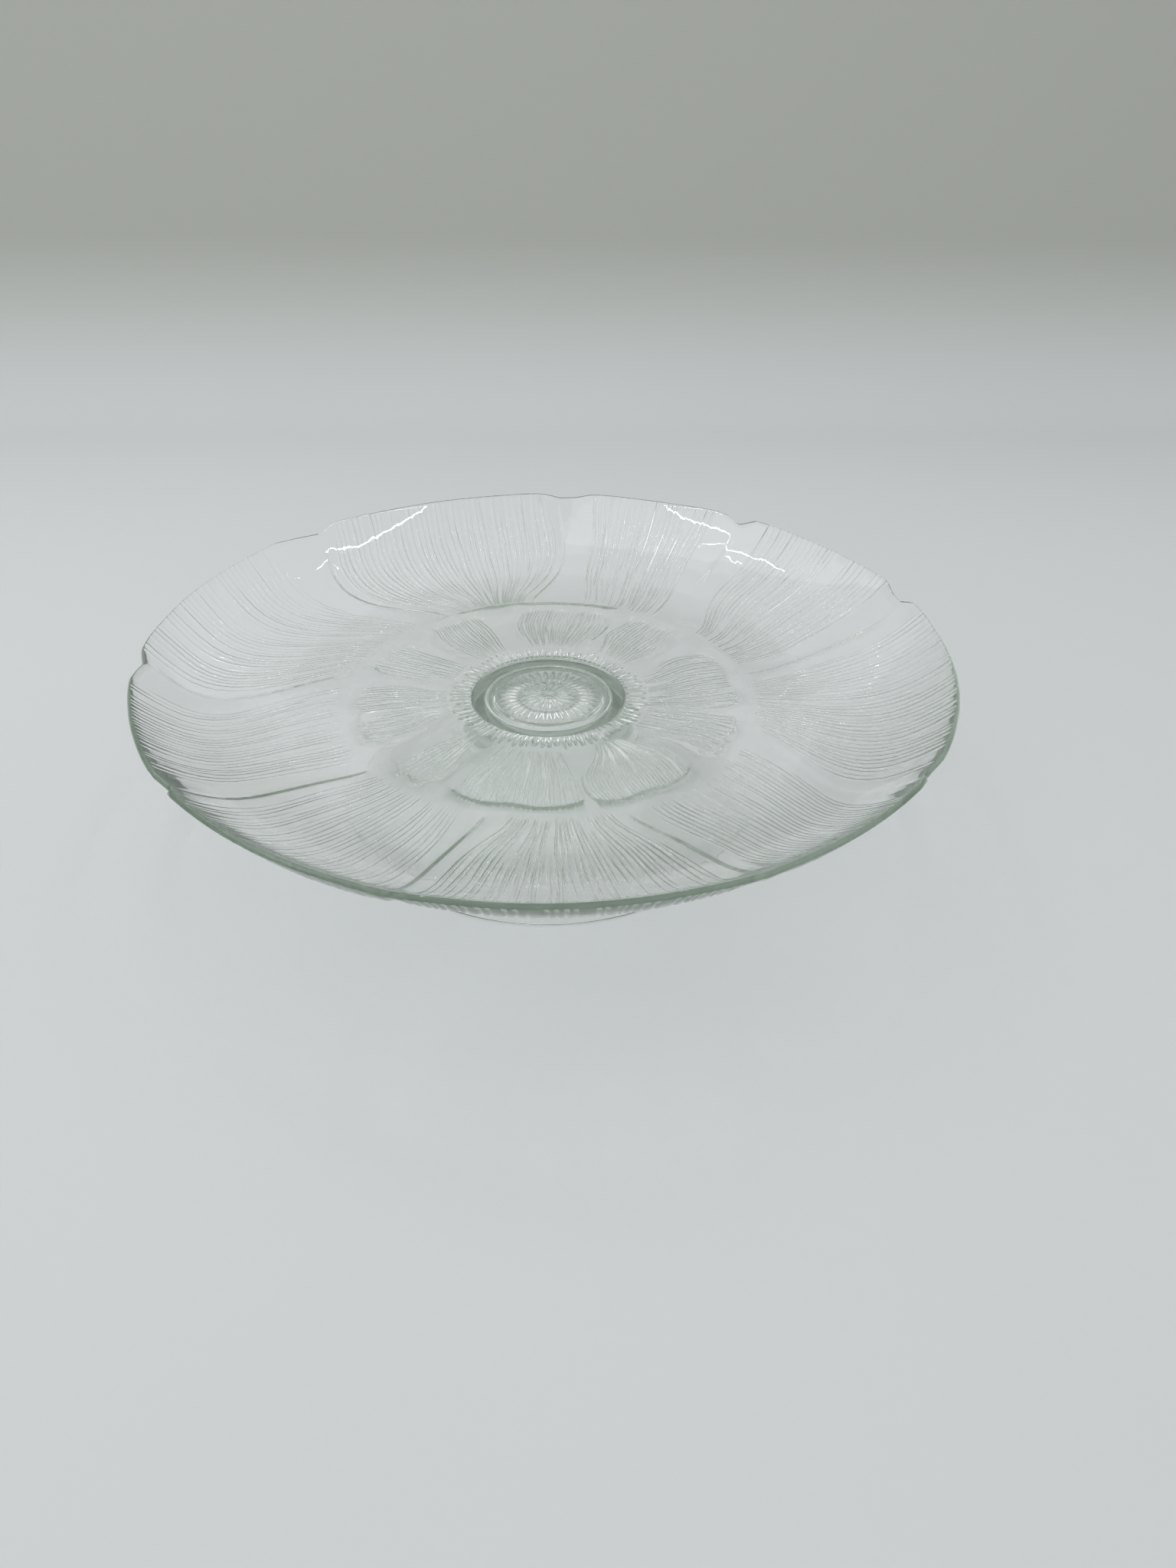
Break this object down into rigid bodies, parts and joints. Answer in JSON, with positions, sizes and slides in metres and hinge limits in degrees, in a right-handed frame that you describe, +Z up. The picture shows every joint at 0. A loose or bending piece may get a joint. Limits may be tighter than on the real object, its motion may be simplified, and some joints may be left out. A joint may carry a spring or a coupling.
{
  "type": "footed cake plate",
  "caption": "Low footed cake plate of clear pressed glass: a shallow dish with a scalloped rim and a ribbed flower in relief underneath, on a hollow flared foot.",
  "frame": {"origin": "on the table, at the middle of the foot", "axes": "+Z up along the axis of the plate and foot, -Y towards the viewer of the picture"},
  "size_m": [0.318, 0.3176, 0.076],
  "materials": {
    "plate_glass": "clear pressed glass, fire polished, with a faint green tint",
    "foot_glass": "clear pressed glass, smooth, with a faint green tint"
  },
  "bodies": {
    "root": {"plate": "plate_glass", "pedestal_foot": "foot_glass"}
  },
  "joints": []
}
